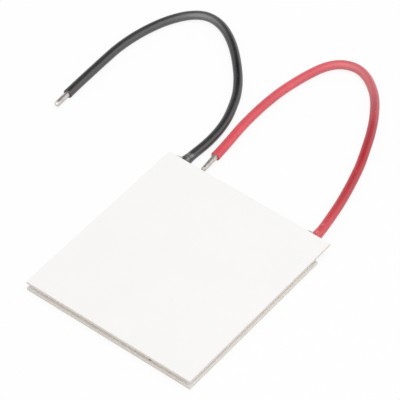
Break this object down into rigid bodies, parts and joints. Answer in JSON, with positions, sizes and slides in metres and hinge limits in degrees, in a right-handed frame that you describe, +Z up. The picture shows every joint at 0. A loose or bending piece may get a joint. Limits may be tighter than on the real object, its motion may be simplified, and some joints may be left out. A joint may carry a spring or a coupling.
{
  "type": "thermoelectric cooling module",
  "caption": "Thin thermoelectric module: two white ceramic plates with semiconductor pellets sealed between them and a red and a black bare-ended lead.",
  "frame": {"origin": "on the table, under the middle of the larger top plate, leads left out", "axes": "+Z up through the plates, from the cold plate to the hot plate; +Y towards the ledge that the leads leave; +X across, towards the red lead"},
  "size_m": [0.0686, 0.0884, 0.0025],
  "materials": {
    "alumina": "matt white fired alumina, lapped faces",
    "copper": "bare copper, nickel flashed under the solder",
    "solder": "reflowed tin solder",
    "p_telluride": "sawn grey semiconductor, p type",
    "n_telluride": "sawn grey semiconductor, n type",
    "seal_silicone": "cured grey-beige silicone, satin",
    "lead_sealant": "cured translucent silicone",
    "red_insulation": "extruded soft insulation, satin",
    "black_insulation": "extruded soft insulation, satin",
    "tinned_strands": "tinned copper strands dipped in solder"
  },
  "bodies": {
    "root": {"cold_plate": "alumina", "hot_plate": "alumina", "cold_tabs": "copper", "hot_tabs": "copper", "cold_solder": "solder", "hot_solder": "solder", "p_pellets_01": "p_telluride", "p_pellets_02": "p_telluride", "p_pellets_03": "p_telluride", "p_pellets_04": "p_telluride", "p_pellets_05": "p_telluride", "p_pellets_06": "p_telluride", "p_pellets_07": "p_telluride", "p_pellets_08": "p_telluride", "p_pellets_09": "p_telluride", "p_pellets_10": "p_telluride", "p_pellets_11": "p_telluride", "p_pellets_12": "p_telluride", "p_pellets_13": "p_telluride", "p_pellets_14": "p_telluride", "p_pellets_15": "p_telluride", "p_pellets_16": "p_telluride", "n_pellets_01": "n_telluride", "n_pellets_02": "n_telluride", "n_pellets_03": "n_telluride", "n_pellets_04": "n_telluride", "n_pellets_05": "n_telluride", "n_pellets_06": "n_telluride", "n_pellets_07": "n_telluride", "n_pellets_08": "n_telluride", "n_pellets_09": "n_telluride", "n_pellets_10": "n_telluride", "n_pellets_11": "n_telluride", "n_pellets_12": "n_telluride", "n_pellets_13": "n_telluride", "n_pellets_14": "n_telluride", "n_pellets_15": "n_telluride", "n_pellets_16": "n_telluride", "positive_terminal": "copper", "negative_terminal": "copper", "perimeter_seal": "seal_silicone", "positive_solder_joint": "solder", "negative_solder_joint": "solder", "red_lead_sealant": "lead_sealant", "black_lead_sealant": "lead_sealant", "red_lead": "red_insulation", "black_lead": "black_insulation", "red_conductor": "tinned_strands", "black_conductor": "tinned_strands"}
  },
  "joints": []
}
